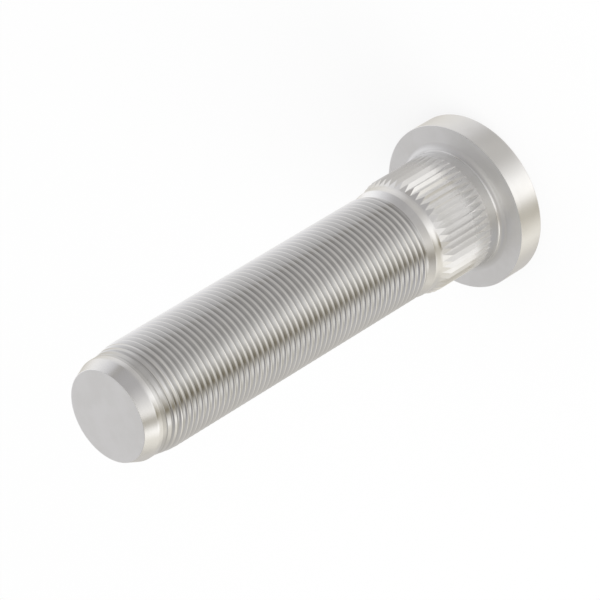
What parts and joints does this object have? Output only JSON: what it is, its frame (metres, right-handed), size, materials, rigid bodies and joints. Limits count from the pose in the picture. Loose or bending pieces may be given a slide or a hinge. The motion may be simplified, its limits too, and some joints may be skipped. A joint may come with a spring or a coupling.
{
  "type": "wheel bolt",
  "caption": "Press-in wheel bolt: a plain round head, a serrated shank that bites into the hub flange, and a long fine-pitch threaded stem with a chamfered tip.",
  "frame": {"origin": "centre of the outer face of the head, which the bolt stands on", "axes": "+Z along the bolt's axis from the head to the threaded tip; X and Y are alike, because the bolt is round"},
  "size_m": [0.037, 0.037, 0.11],
  "materials": {
    "plated_steel": "bright zinc plating, satin, with fine turning marks"
  },
  "bodies": {
    "root": {"wheel_bolt": "plated_steel"}
  },
  "joints": []
}
